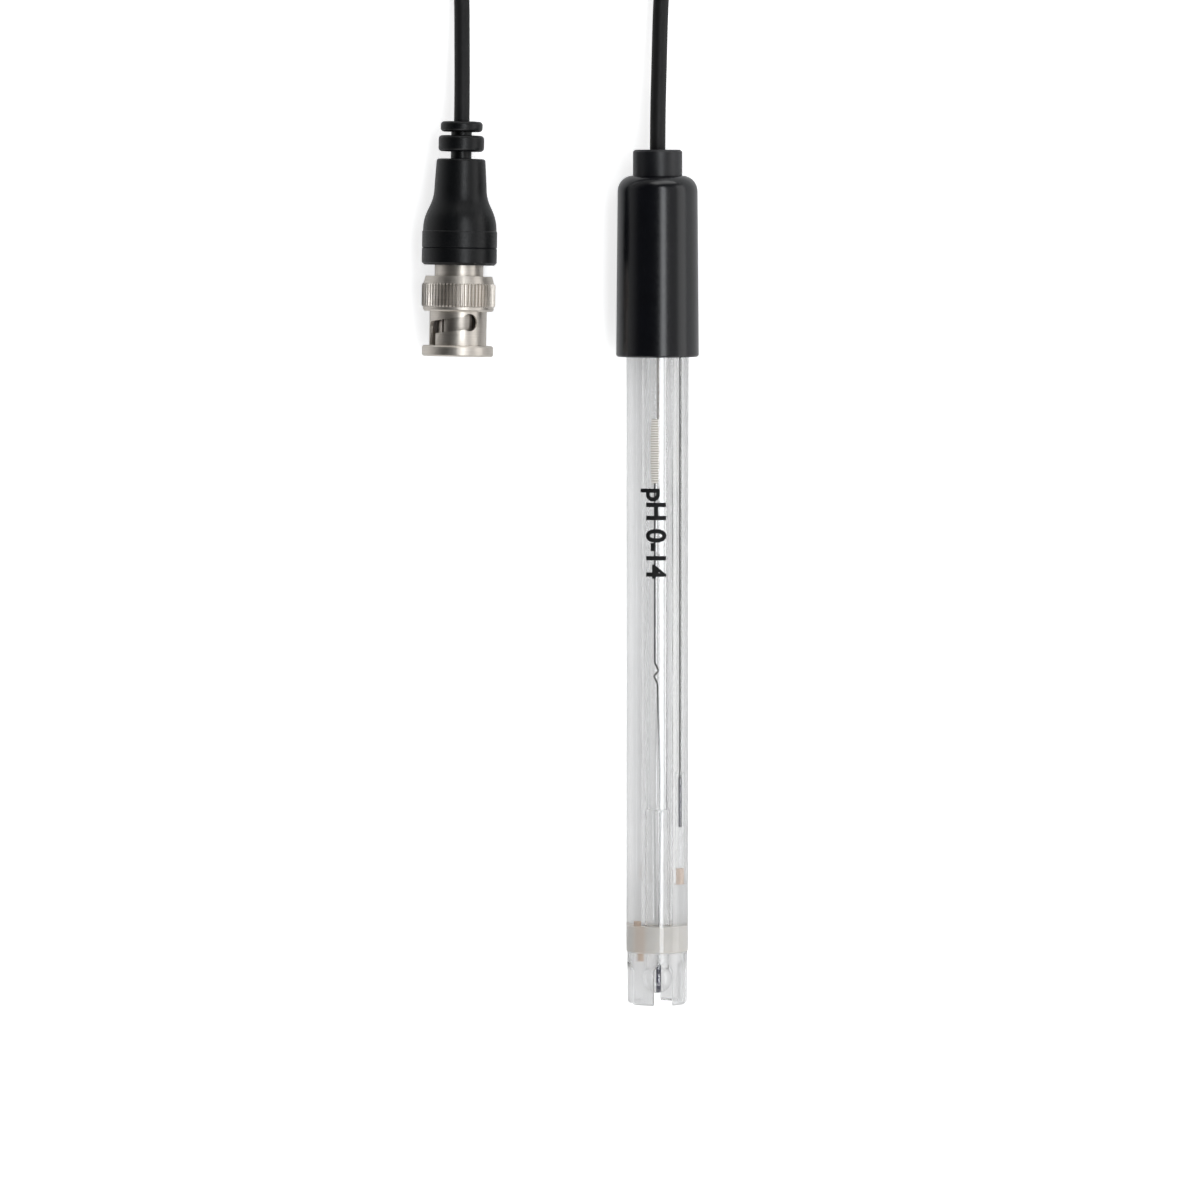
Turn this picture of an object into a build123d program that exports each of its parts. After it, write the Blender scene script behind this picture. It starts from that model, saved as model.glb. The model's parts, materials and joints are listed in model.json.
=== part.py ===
from build123d import *
from math import atan2, cos, degrees, pi, radians, sin, sqrt, tan
import os

# pH electrode with its cord and bayonet plug, in millimetres.
# The electrode lies on its cap's rim and its guard, along Y, with its tip toward -Y.
# Heights on the electrode run from its guard end to its cord, and its front, which lies uppermost, is local -Y.
# Heights on the plug run from its mating face to its cord.

# Clearances
bond_gap = 0.05
turning_gap = 0.1

# Body tube and guard
tube_diameter = 12.0
tube_wall = 1.0
body_length = 125.4
spigot_length = 14.6
spigot_step = 0.3
guard_length = 10.35
guard_step = 0.2
guard_edge = 0.4
guard_slot_count = 4
guard_slot_width = 3.7
guard_slot_height = 8.2
guard_slot_turn = 12.5

# Seals at the two ends of the tube
tip_seal_length = 4.85
top_seal_length = 8.0

# Glass stem and bulb
stem_diameter = 4.5
stem_wall = 0.75
stem_rise = 3.0
bulb_diameter = 5.7
bulb_wall = 0.4
bulb_setback = 2.0
bulb_neck_round = 1.0
buffer_level = 37.8

# Wire and element in the stem
element_diameter = 0.7
element_length = 4.75
element_offset = 0.2
element_floor_gap = 0.3
wire_diameter = 0.35
wire_kink_height = 63.7
wire_kink_rise = 1.05
wire_kink_width = 0.95
wire_kink_drop = 1.5
wire_arc_share = 0.2
wire_bow_height = 45.0
wire_bow = 0.5

# Wrapped joint in the stem
wrap_setback = 12.0
wrap_length = 12.4
wrap_diameter = 1.9
wrap_offset = 0.52
wrap_end_diameter = 1.5
wrap_rib_count = 26
wrap_rib_depth = 0.12
core_offset = 0.15

# Reference tube and what it holds
reference_diameter = 2.1
reference_wall = 0.5
reference_height = 23.3
inner_junction_length = 3.0
reference_fill = 21.6
reference_element_rise = 11.1
reference_element_length = 9.4
reference_element_diameter = 0.55
reference_wire_diameter = 0.5

# Wick through the tip seal
wick_diameter = 1.15
wick_side = -3.15
wick_front = 1.5
wick_below = 1.95
wick_above = 1.0

# Cap and grommet
cap_rim_diameter = 16.0
cap_top_diameter = 15.4
cap_length = 34.9
cap_shoulder = 3.0
cap_edge = 0.3
cap_roof = 2.5
cap_wall = 1.6
grommet_diameter = 9.5
grommet_length = 5.0
grommet_edge = 0.4
grommet_hole_diameter = 6.4
grommet_lip_diameter = 8.0
grommet_lip_length = 1.8

# Cord and the leads inside the cap
cord_diameter = 3.0
cord_strip_length = 7.0
lead_rise = 2.0
shield_lead_offset = 0.95

# Coupling sleeve of the plug
flange_diameter = 13.8
flange_length = 2.1
flange_chamfer = 0.3
sleeve_diameter = 11.06
knurl_start = 8.7
knurl_lip = 0.8
knurl_chamfer = 0.3
knurl_diameter = 14.25
knurl_length = 4.6
knurl_count = 60
knurl_depth = 0.3
knurl_crest_share = 0.3
knurl_root_share = 0.25
coupling_length = 15.5
coupling_rear_diameter = 12.9
coupling_bore = 9.8
chamber_diameter = 11.2
ring_groove_depth = 0.4
ring_setback = 0.5

# Bayonet ramps
ramp_count = 2
ramp_width = 2.5
ramp_entry_angle = -63.0
ramp_end_angle = 25.0
ramp_start_height = 5.5
ramp_end_height = 6.6
ramp_hole_diameter = 3.3
ramp_groove_depth = 0.8

# Body, contacts and spring parts of the plug
contact_setback = 1.8
contact_diameter = 8.1
contact_bore = 5.0
contact_chamfer = 0.3
contact_slot_count = 4
contact_slot_width = 0.5
contact_slot_length = 6.7
contact_slot_turn = 45.0
body_flange_diameter = 10.8
body_flange_length = 1.0
barrel_diameter = 9.4
barrel_length = 10.3
crimp_stem_diameter = 4.4
crimp_stem_length = 7.5
crimp_bore = 2.0
ferrule_wall = 0.5
insulator_start = 7.2
insulator_length = 11.8
pin_diameter = 1.35
pin_setback = 2.6
pin_tip_length = 0.7
pin_tail_length = 3.0
gasket_length = 1.1
wave_height = 1.35
wave_thickness = 0.3
thrust_thickness = 0.55
ring_thickness = 0.8
ring_opening = 5.0

# Boot of the plug
boot_start = 17.6
boot_diameter = 14.5
boot_edge = 0.5
boot_band_length = 3.3
boot_groove = 0.15
boot_flare_length = 8.7
boot_waist_diameter = 10.06
boot_rear_diameter = 9.4
boot_body_length = 20.5
boot_neck_diameter = 4.0
boot_rear_round = 0.5
first_neck_length = 1.4
first_rib_diameter = 8.8
first_rib_length = 3.1
second_neck_length = 0.7
second_rib_diameter = 8.1
second_rib_length = 2.0
rib_round = 0.7

# Where the plug and the coil lie, and how the cord leaves its ends and turns
plug_front_x = -38.63
plug_front_y = 42.8
plug_yaw = 1.1
coil_x = -19.0
coil_y = 141.0
coil_mean_radius = 18.0
coil_columns = 3
coil_layers = 3
coil_slack = 0.25
tie_width = 4.0
tie_thickness = 0.5
cord_leave = 5.0
cord_arc_share = 0.45

# Radii that follow from the diameters
tube_radius = tube_diameter / 2
tube_bore_radius = tube_radius - tube_wall
fill_radius = tube_bore_radius - bond_gap
guard_radius = tube_radius - guard_step
spigot_radius = tube_radius - spigot_step
stem_radius = stem_diameter / 2
stem_bore_radius = stem_radius - stem_wall
bulb_radius = bulb_diameter / 2
wire_radius = wire_diameter / 2
reference_wire_radius = reference_wire_diameter / 2
element_radius = element_diameter / 2
reference_radius = reference_diameter / 2
reference_bore_radius = reference_radius - reference_wall
reference_offset = stem_radius + bond_gap + reference_radius
wick_radius = wick_diameter / 2
cap_rim_radius = cap_rim_diameter / 2
grommet_radius = grommet_diameter / 2
cord_radius = cord_diameter / 2
cord_bore_radius = cord_radius + bond_gap
coupling_bore_radius = coupling_bore / 2
chamber_radius = chamber_diameter / 2
knurl_radius = knurl_diameter / 2
knurl_root_radius = knurl_radius - knurl_depth
barrel_radius = barrel_diameter / 2
boot_radius = boot_diameter / 2

# Heights on the electrode
tip_seal_top = guard_length + tip_seal_length
tube_top = body_length + spigot_length
top_seal_bottom = tube_top - top_seal_length
stem_top = tube_top + stem_rise
bulb_centre = bulb_setback + bulb_radius
element_bottom = bulb_setback + bulb_wall + element_floor_gap
element_top = element_bottom + element_length
wrap_top = body_length - wrap_setback
wrap_height = wrap_top - wrap_length
inner_junction_top = reference_height + inner_junction_length
reference_level = reference_height + reference_fill
reference_element_height = reference_height + reference_element_rise
reference_element_top = reference_element_height + reference_element_length
reference_wire_top = stem_top + lead_rise
cap_top = body_length + cap_length
cap_roof_bottom = cap_top - cap_roof
electrode_length = cap_top + grommet_length
cord_end = cap_roof_bottom - cord_strip_length

# Heights on the plug
knurl_low = knurl_start + knurl_lip
knurl_end = knurl_low + knurl_length
thrust_end = coupling_length - ring_setback - ring_thickness - bond_gap
thrust_start = thrust_end - thrust_thickness
wave_end = thrust_start - bond_gap
wave_start = wave_end - wave_height
body_flange_end = wave_start - bond_gap
body_flange_start = body_flange_end - body_flange_length
chamber_start = body_flange_start - turning_gap
barrel_end = body_flange_end + barrel_length
crimp_end = barrel_end + crimp_stem_length
insulator_end = insulator_start + insulator_length
boot_body_end = boot_start + boot_body_length
first_rib_start = boot_body_end + first_neck_length
first_rib_end = first_rib_start + first_rib_length
second_rib_start = first_rib_end + second_neck_length
boot_end = second_rib_start + second_rib_length
plug_cord_end = (first_rib_start + first_rib_end) / 2

# The electrode's lean, so that its cap's rim and its guard both touch the floor
lean = degrees(atan2(cap_rim_radius - guard_radius, body_length + cap_edge - guard_edge))
lean_cos = cos(radians(lean))
lean_sin = sin(radians(lean))
axis_height = guard_radius * lean_cos - guard_edge * lean_sin
upper_reach = electrode_length * lean_cos + (grommet_radius - grommet_edge) * lean_sin
lower_reach = (guard_radius - guard_edge) * lean_sin
electrode_place = Pos(0, (lower_reach - upper_reach) / 2, axis_height) * Rot(X=lean - 90)
plug_place = Pos(plug_front_x, plug_front_y, boot_radius) * Rot(Z=-plug_yaw) * Rot(X=-90)


def post(radius, low, high, x=0.0, y=0.0):
    """A round bar from one height to another."""
    bar = Cylinder(radius, high - low, align=(Align.CENTER, Align.CENTER, Align.MIN))
    return Pos(x, y, low) * bar


def turned(*outline):
    """A solid of revolution about Z, from the (radius, height) corners of its outline."""
    corners = [Vector(r, 0, z) for r, z in outline]
    return revolve(make_face(Polyline(*corners, close=True)), Axis.Z)


def rims(solid, radius):
    """The round edges of a solid that have a given radius."""
    return solid.edges().filter_by(GeomType.CIRCLE).filter_by(lambda edge: abs(edge.radius - radius) < bond_gap)


def corner_radii(points, arc_share):
    """The radius at each inner point of a route whose arc takes a share of the shorter run beside it."""
    radii = []
    for before, here, after in zip(points, points[1:], points[2:]):
        arriving = Vector(*here) - Vector(*before)
        leaving = Vector(*after) - Vector(*here)
        half_turn = radians(arriving.get_angle(leaving)) / 2
        radii.append(arc_share * min(arriving.length, leaving.length) / tan(half_turn))
    return radii


def swept(points, radius, arc_share=cord_arc_share):
    """A round bar along straight runs that tangent arcs join."""
    path = FilletPolyline(*points, radius=corner_radii(points, arc_share))
    section = Plane(origin=path @ 0, z_dir=path % 0) * Circle(radius)
    return sweep(section, path=path)


def outward(angle, height):
    """A place on the plug's axis that looks outward, with the angle counted from the front to the right."""
    return Pos(0, 0, height) * Rot(Z=angle - 90) * Rot(Y=90)


def body_tube():
    """Clear tube with a stepped guard, a spigot and arched slots that open at the guard end."""
    outline = [
        (tube_bore_radius, 0),
        (guard_radius - guard_edge, 0),
        (guard_radius, guard_edge),
        (guard_radius, guard_length - guard_step),
        (tube_radius, guard_length),
        (tube_radius, body_length),
        (spigot_radius, body_length),
        (spigot_radius, tube_top),
        (tube_bore_radius, tube_top),
    ]
    arch = guard_slot_width / 2
    arch_height = guard_slot_height - arch
    slot = Rectangle(guard_slot_width, 2 * arch_height) + Pos(0, arch_height) * Circle(arch)
    facing = Plane(origin=(0, 0, 0), x_dir=(1, 0, 0), z_dir=(0, -1, 0))
    cutter = extrude(facing * slot, tube_diameter)
    solid = turned(*outline)
    for i in range(guard_slot_count):
        solid -= Rot(Z=guard_slot_turn + 360 / guard_slot_count * i) * cutter
    return solid


def stem_shape(radius, ball_radius, low, high):
    """A round bar that ends below in a ball about the bulb's centre."""
    return post(radius, low, high) + Pos(0, 0, bulb_centre) * Sphere(ball_radius)


def glass_stem():
    """Glass tube blown out to a thin bulb, with a round neck between them."""
    outer = stem_shape(stem_radius, bulb_radius, bulb_centre, stem_top)
    neck = rims(outer, stem_radius).sort_by(Axis.Z)[0]
    outer = fillet(neck, bulb_neck_round)
    inner = stem_shape(stem_bore_radius, bulb_radius - bulb_wall, bulb_centre, stem_top)
    return outer - inner


def stem_element():
    return post(element_radius, element_bottom, element_top, element_offset)


def wire_route():
    """The silver wire's way up the stem, with its kink, in the plane of the electrode's sides."""
    kink_high = wire_kink_height + wire_kink_rise
    kink_left = -wrap_offset - wire_radius
    return [
        (element_offset, 0, element_top),
        (wire_bow, 0, wire_bow_height),
        (0, 0, wire_kink_height - wire_kink_drop),
        (kink_left, 0, wire_kink_height),
        (kink_left + wire_kink_width, 0, kink_high),
        (-wrap_offset, 0, kink_high + wire_kink_drop),
        (-wrap_offset, 0, wrap_height),
    ]


def stem_wire():
    return swept(wire_route(), wire_radius, wire_arc_share)


def lead_wrap():
    """Wrapped joint, ribbed by its turns of fibre and thicker toward its middle."""
    end_radius = wrap_end_diameter / 2
    swell = wrap_diameter / 2 - end_radius
    outline = [(0, wrap_height)]
    for i in range(2 * wrap_rib_count + 1):
        share = i / (2 * wrap_rib_count)
        crest = end_radius + swell * sin(pi * share)
        outline.append((crest if i % 2 else crest - wrap_rib_depth, wrap_height + share * wrap_length))
    outline.append((0, wrap_top))
    return Pos(-wrap_offset, 0, 0) * turned(*outline)


def core_lead():
    return post(wire_radius, wrap_top, cord_end, core_offset)


def buffer_gel():
    """Filling of the bulb and the lower stem, around the element and its wire."""
    ball_radius = bulb_radius - bulb_wall - bond_gap
    solid = stem_shape(stem_bore_radius - bond_gap, ball_radius, bulb_centre, buffer_level)
    solid -= post(element_radius + bond_gap, element_bottom - bond_gap, element_top + bond_gap, element_offset)
    return solid - swept(wire_route(), wire_radius + bond_gap, wire_arc_share)


def reference_post(radius, low, high):
    """A round bar on the reference tube's axis."""
    return post(radius, low, high, reference_offset)


def reference_tube():
    solid = reference_post(reference_radius, reference_height, stem_top)
    return solid - reference_post(reference_bore_radius, reference_height, stem_top)


def reference_element():
    return reference_post(reference_element_diameter / 2, reference_element_height, reference_element_top)


def reference_wire():
    return reference_post(reference_wire_radius, reference_element_top, reference_wire_top)


def reference_gel():
    """Filling of the reference tube, around its element and wire."""
    solid = reference_post(reference_bore_radius - bond_gap, inner_junction_top + bond_gap, reference_level)
    rod_radius = reference_element_diameter / 2 + bond_gap
    rod_low = reference_element_height - bond_gap
    solid -= reference_post(rod_radius, rod_low, reference_element_top + bond_gap)
    return solid - reference_post(reference_wire_radius + bond_gap, reference_element_top, reference_level)


def inner_junction():
    return reference_post(reference_bore_radius - bond_gap, reference_height, inner_junction_top)


def wick(radius, low, high):
    """A round bar on the wick's axis."""
    return post(radius, low, high, wick_side, -wick_front)


def outer_junction():
    return wick(wick_radius, guard_length - wick_below, tip_seal_top + wick_above)


def tip_seal():
    """Disc that closes the tube round the stem and the wick."""
    solid = post(fill_radius, guard_length, tip_seal_top)
    solid -= post(stem_radius + bond_gap, guard_length, tip_seal_top)
    return solid - wick(wick_radius + bond_gap, guard_length, tip_seal_top)


def chamber_gel():
    """Clear gel from the tip seal to the top seal, around all that stands in it."""
    low = tip_seal_top + bond_gap
    solid = post(fill_radius, low, top_seal_bottom)
    solid -= post(stem_radius + bond_gap, low, top_seal_bottom)
    solid -= reference_post(reference_radius + bond_gap, reference_height - bond_gap, top_seal_bottom)
    return solid - wick(wick_radius + bond_gap, low, tip_seal_top + wick_above + bond_gap)


def top_seal():
    """Bung in the tube's top round the stem and the reference tube."""
    solid = post(fill_radius, top_seal_bottom, tube_top)
    solid -= post(stem_radius + bond_gap, top_seal_bottom, tube_top)
    return solid - reference_post(reference_radius + bond_gap, top_seal_bottom, tube_top)


def shield_lead():
    """The screen wire from the cord's end over to the reference wire."""
    route = [
        (reference_offset, 0, reference_wire_top),
        (reference_offset, 0, reference_wire_top + lead_rise),
        (shield_lead_offset, 0, cord_end - lead_rise),
        (shield_lead_offset, 0, cord_end),
    ]
    return swept(route, wire_radius)


def cap():
    """Drafted cap with a round shoulder, a socket for the tube and a roof with a hole for the grommet."""
    socket_radius = spigot_radius + bond_gap
    top_radius = cap_top_diameter / 2
    room_radius = top_radius - cap_wall
    outer = turned(
        (0, body_length),
        (cap_rim_radius - cap_edge, body_length),
        (cap_rim_radius, body_length + cap_edge),
        (top_radius, cap_top),
        (0, cap_top),
    )
    outer = fillet(outer.edges().sort_by(Axis.Z)[-1], cap_shoulder)
    outer -= post(socket_radius, body_length, tube_top + bond_gap)
    outer -= post(room_radius, tube_top + bond_gap, cap_roof_bottom)
    return outer - post(grommet_hole_diameter / 2, cap_roof_bottom, cap_top)


def cable_grommet():
    """Collar on the cap, with a snap-in lip under the cap's roof and a bore for the cord."""
    shank_radius = grommet_hole_diameter / 2 - bond_gap
    lip_top = cap_roof_bottom - bond_gap
    lip_bottom = lip_top - grommet_lip_length
    return turned(
        (cord_bore_radius, lip_bottom),
        (shank_radius, lip_bottom),
        (grommet_lip_diameter / 2, lip_top),
        (shank_radius, lip_top),
        (shank_radius, cap_top),
        (grommet_radius, cap_top),
        (grommet_radius, electrode_length - grommet_edge),
        (grommet_radius - grommet_edge, electrode_length),
        (cord_bore_radius, electrode_length),
    )


def cap_cable_end():
    return post(cord_radius, cord_end, cap_top)


def knurl_band():
    """Straight teeth with flat crests round the coupling sleeve, bevelled at both ends."""
    step = 2 * pi / knurl_count
    crest = step * knurl_crest_share / 2
    root = step * (1 - knurl_root_share) / 2
    corners = []
    for i in range(knurl_count):
        for radius, turn in [
            (knurl_radius, -crest),
            (knurl_radius, crest),
            (knurl_root_radius, root),
            (knurl_root_radius, step - root),
        ]:
            corners.append((radius * cos(step * i + turn), radius * sin(step * i + turn)))
    star = make_face(Polyline(*corners, close=True))
    teeth = Pos(0, 0, knurl_low) * extrude(star, knurl_length)
    inner_radius = knurl_root_radius - knurl_depth
    return teeth & turned(
        (inner_radius, knurl_low),
        (knurl_root_radius, knurl_low),
        (knurl_radius, knurl_low + knurl_chamfer),
        (knurl_radius, knurl_end - knurl_chamfer),
        (knurl_root_radius, knurl_end),
        (inner_radius, knurl_end),
    )


def ramp_cutter():
    """Milled bayonet way: a groove in from the face, a rising helix and a round seat for the stud."""
    reach = knurl_radius
    groove_radius = coupling_bore_radius + ramp_groove_depth
    groove_width = groove_radius - coupling_bore_radius / 2
    groove = Box(groove_width, ramp_width, ramp_start_height, align=(Align.MIN, Align.CENTER, Align.MIN))
    groove = Rot(Z=ramp_entry_angle - 90) * Pos(coupling_bore_radius / 2, 0, 0) * groove
    entry = outward(ramp_entry_angle, ramp_start_height) * post(ramp_width / 2, 0, reach)
    seat = outward(ramp_end_angle, ramp_end_height) * post(ramp_hole_diameter / 2, 0, reach)
    rise = ramp_end_height - ramp_start_height
    pitch = rise * 360 / (ramp_end_angle - ramp_entry_angle)
    path = Helix(pitch, rise, groove_radius)
    section = Plane(origin=path @ 0, x_dir=(1, 0, 0), z_dir=path % 0) * Rectangle(2 * ramp_width, ramp_width)
    ramp = sweep(section, path=path, is_frenet=True)
    ramp = Pos(0, 0, ramp_start_height) * Rot(Z=ramp_entry_angle - 90) * ramp
    return groove + entry + seat + ramp


def bayonet_sleeve():
    """Knurled coupling with a front flange, two bayonet ways and a chamber for the spring parts."""
    flange_radius = flange_diameter / 2
    sleeve_radius = sleeve_diameter / 2
    solid = turned(
        (coupling_bore_radius, 0),
        (flange_radius - flange_chamfer, 0),
        (flange_radius, flange_chamfer),
        (flange_radius, flange_length - flange_chamfer),
        (flange_radius - flange_chamfer, flange_length),
        (sleeve_radius, flange_length),
        (sleeve_radius, knurl_start),
        (knurl_root_radius - knurl_chamfer, knurl_start),
        (knurl_root_radius, knurl_start + knurl_chamfer),
        (knurl_root_radius, knurl_end),
        (coupling_rear_diameter / 2, coupling_length),
        (chamber_radius, coupling_length),
        (chamber_radius, chamber_start),
        (coupling_bore_radius, chamber_start),
    )
    solid += knurl_band()
    for i in range(ramp_count):
        solid -= Rot(Z=360 / ramp_count * i) * ramp_cutter()
    ring_end = coupling_length - ring_setback
    groove = post(chamber_radius + ring_groove_depth, ring_end - ring_thickness - bond_gap, ring_end + bond_gap)
    return solid - groove


def retaining_ring():
    """Open ring that springs into the coupling's groove."""
    ring_end = coupling_length - ring_setback
    low = ring_end - ring_thickness
    solid = post(chamber_radius + ring_groove_depth - bond_gap, low, ring_end)
    solid -= post(barrel_radius + 2 * turning_gap, low, ring_end)
    return solid - Pos(0, -chamber_radius, ring_end) * Box(ring_opening, chamber_diameter, coupling_length)


def thrust_washer():
    solid = post(chamber_radius - turning_gap, thrust_start, thrust_end)
    return solid - post(barrel_radius + turning_gap, thrust_start, thrust_end)


def wave_washer():
    """Flat ring bent into a bow, which springs between the body's flange and the thrust washer."""
    outer_radius = chamber_radius - 2 * turning_gap
    rise = wave_height - wave_thickness
    bow_radius = (outer_radius**2 + rise**2) / (2 * rise)
    centre = wave_end - bow_radius
    bow = Circle(bow_radius) - Circle(bow_radius - wave_thickness)
    bow = Rot(X=90) * Pos(0, 0, -chamber_diameter) * extrude(bow, 2 * chamber_diameter)
    ring = post(outer_radius, wave_start, wave_end) - post(barrel_radius + bond_gap, wave_start, wave_end)
    return ring & (Pos(0, 0, centre) * bow)


def plug_body():
    """Turned body: a slotted outer contact, a flange, a barrel and a crimp stem."""
    contact_radius = contact_diameter / 2
    bore_radius = contact_bore / 2
    stem = crimp_stem_diameter / 2
    solid = turned(
        (bore_radius, contact_setback),
        (contact_radius - contact_chamfer, contact_setback),
        (contact_radius, contact_setback + contact_chamfer),
        (contact_radius, body_flange_start),
        (body_flange_diameter / 2, body_flange_start),
        (body_flange_diameter / 2, body_flange_end),
        (barrel_radius, body_flange_end),
        (barrel_radius, barrel_end),
        (stem, barrel_end),
        (stem, crimp_end),
        (crimp_bore / 2, crimp_end),
        (crimp_bore / 2, insulator_end + bond_gap),
        (bore_radius, insulator_end + bond_gap),
    )
    along_axis = (Align.MIN, Align.CENTER, Align.MIN)
    slot = Box(contact_diameter, contact_slot_width, contact_slot_length, align=along_axis)
    slot = Pos(0, 0, contact_setback) * slot
    for i in range(contact_slot_count):
        solid -= Rot(Z=contact_slot_turn + 360 / contact_slot_count * i) * slot
    return solid


def insulator():
    solid = post(contact_bore / 2 - bond_gap, insulator_start, insulator_end)
    return solid - post(pin_diameter / 2 + bond_gap, insulator_start, insulator_end)


def centre_pin():
    """Contact pin with a tapered tip and a thicker tail."""
    pin_radius = pin_diameter / 2
    tail_radius = crimp_bore / 2 - bond_gap
    tail_start = insulator_end + bond_gap
    return turned(
        (0, pin_setback),
        (pin_radius / 2, pin_setback),
        (pin_radius, pin_setback + pin_tip_length),
        (pin_radius, tail_start),
        (tail_radius, tail_start),
        (tail_radius, tail_start + pin_tail_length),
        (0, tail_start + pin_tail_length),
    )


def gasket():
    low = body_flange_start - bond_gap - gasket_length
    solid = post(coupling_bore_radius - turning_gap, low, low + gasket_length)
    return solid - post(contact_diameter / 2 + bond_gap, low, low + gasket_length)


def crimp_ferrule():
    inner_radius = crimp_stem_diameter / 2 + bond_gap
    solid = post(inner_radius + ferrule_wall, barrel_end + bond_gap, crimp_end)
    return solid - post(inner_radius, barrel_end, crimp_end)


def boot():
    """Moulded boot: two banded rings, a flare to its waist and two strain relief ribs."""
    band_end = boot_start + boot_band_length
    flare_start = band_end + boot_band_length
    flare_end = flare_start + boot_flare_length
    flare_radius = boot_radius - boot_groove
    waist_radius = boot_waist_diameter / 2
    rear_radius = boot_rear_diameter / 2
    neck_radius = boot_neck_diameter / 2
    first_rib_radius = first_rib_diameter / 2
    second_rib_radius = second_rib_diameter / 2
    cavity_radius = crimp_stem_diameter / 2 + 2 * bond_gap + ferrule_wall
    front = Polyline(
        (barrel_radius + bond_gap, 0, boot_start),
        (boot_radius - boot_edge, 0, boot_start),
        (boot_radius, 0, boot_start + boot_edge),
        (boot_radius, 0, band_end - boot_groove),
        (flare_radius, 0, band_end),
        (boot_radius, 0, band_end + boot_groove),
        (boot_radius, 0, flare_start - boot_groove),
        (flare_radius, 0, flare_start),
    )
    flare = Bezier(
        (flare_radius, 0, flare_start),
        (flare_radius, 0, (flare_start + flare_end) / 2),
        (waist_radius, 0, (flare_start + flare_end) / 2),
        (waist_radius, 0, flare_end),
    )
    rear = Polyline(
        (waist_radius, 0, flare_end),
        (rear_radius, 0, boot_body_end),
        (neck_radius, 0, boot_body_end),
        (neck_radius, 0, first_rib_start),
        (first_rib_radius, 0, first_rib_start),
        (first_rib_radius, 0, first_rib_end),
        (neck_radius, 0, first_rib_end),
        (neck_radius, 0, second_rib_start),
        (second_rib_radius, 0, second_rib_start),
        (second_rib_radius, 0, boot_end),
        (cord_bore_radius, 0, boot_end),
        (cord_bore_radius, 0, crimp_end + bond_gap),
        (cavity_radius, 0, crimp_end + bond_gap),
        (cavity_radius, 0, barrel_end + bond_gap),
        (barrel_radius + bond_gap, 0, barrel_end + bond_gap),
        (barrel_radius + bond_gap, 0, boot_start),
    )
    solid = revolve(make_face(front + flare + rear), Axis.Z)
    solid = fillet(rims(solid, first_rib_radius) + rims(solid, second_rib_radius), rib_round)
    return fillet(rims(solid, rear_radius), boot_rear_round)


def plug_cable_end():
    return post(cord_radius, crimp_end, plug_cord_end)


def on_electrode(height):
    """A point of the electrode's axis where it lies."""
    return (electrode_place * Pos(0, 0, height)).position


def on_plug(height):
    """A point of the plug's axis where it lies."""
    return (plug_place * Pos(0, 0, height)).position


# Coil of the cord, which lies flat: columns side by side and layers on top of each other
coil_outer_radius = coil_mean_radius + coil_columns * cord_radius + coil_slack
coil_inner_radius = coil_mean_radius - coil_columns * cord_radius - coil_slack
coil_height = coil_layers * cord_diameter + coil_slack
coil_edge_radius = coil_mean_radius + (coil_columns - 1) * cord_radius

# Routes of the cord's two free stretches, from the cap to the coil and from the coil to the plug
lead_route = [
    on_electrode(cap_top),
    on_electrode(electrode_length + cord_leave),
    Vector(0.1, 99.0, 7.2),
    Vector(0.5, 110.5, 4.2),
    Vector(1.3, 122.0, 2.1),
    Vector(1.9, 131.5, 1.65),
    Vector(coil_x + coil_edge_radius, coil_y, 1.6),
]
tail_route = [
    Vector(coil_x - coil_edge_radius, coil_y, 7.5),
    Vector(-39.95, 132.5, 7.0),
    Vector(-39.4, 123.0, 4.6),
    Vector(-38.4, 113.5, 2.6),
    Vector(-37.75, 103.8, 4.6),
    on_plug(boot_end + cord_leave),
    on_plug(plug_cord_end),
]


def tie_box(margin):
    """The block that the tie wraps, grown by a margin: the coil's section where it passes the tie."""
    inner_edge = sqrt(coil_inner_radius**2 - (tie_width / 2) ** 2)
    length = coil_outer_radius - inner_edge + 2 * margin
    block = Box(tie_width, length, coil_height - tie_thickness + 2 * margin)
    middle = (coil_outer_radius + inner_edge) / 2
    return Pos(coil_x, coil_y + middle, (coil_height + tie_thickness) / 2) * block


def cable_coil():
    """The coil's outer shape, with a shallow notch below for the tie."""
    ring = post(coil_outer_radius, 0, coil_height) - post(coil_inner_radius, 0, coil_height)
    ring = fillet(ring.edges().filter_by(GeomType.CIRCLE), cord_radius / 2)
    notch = Box(
        tie_width + 2 * turning_gap,
        coil_outer_radius,
        tie_thickness + bond_gap,
        align=(Align.CENTER, Align.MIN, Align.MIN),
    )
    ring -= Pos(0, coil_inner_radius / 2, 0) * notch
    return Pos(coil_x, coil_y, 0) * ring


def coil_tie():
    """Flat band round the coil."""
    return tie_box(tie_thickness) - tie_box(bond_gap)


def cable_lead():
    return swept(lead_route, cord_radius) - cable_coil()


def cable_tail():
    return swept(tail_route, cord_radius) - cable_coil()


electrode_pieces = [
    body_tube,
    glass_stem,
    stem_element,
    stem_wire,
    lead_wrap,
    core_lead,
    buffer_gel,
    reference_tube,
    reference_element,
    reference_wire,
    reference_gel,
    inner_junction,
    outer_junction,
    tip_seal,
    chamber_gel,
    top_seal,
    shield_lead,
    cap,
    cable_grommet,
    cap_cable_end,
]
plug_pieces = [
    plug_cable_end,
    boot,
    crimp_ferrule,
    plug_body,
    insulator,
    centre_pin,
    gasket,
    wave_washer,
    thrust_washer,
    retaining_ring,
    bayonet_sleeve,
]
cord_pieces = [cable_lead, cable_coil, coil_tie, cable_tail]

os.makedirs("parts", exist_ok=True)
groups = [(electrode_place, electrode_pieces), (plug_place, plug_pieces), (Pos(0, 0, 0), cord_pieces)]
for place, pieces in groups:
    for piece in pieces:
        export_step(place * piece(), "parts/" + piece.__name__ + ".step")

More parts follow.
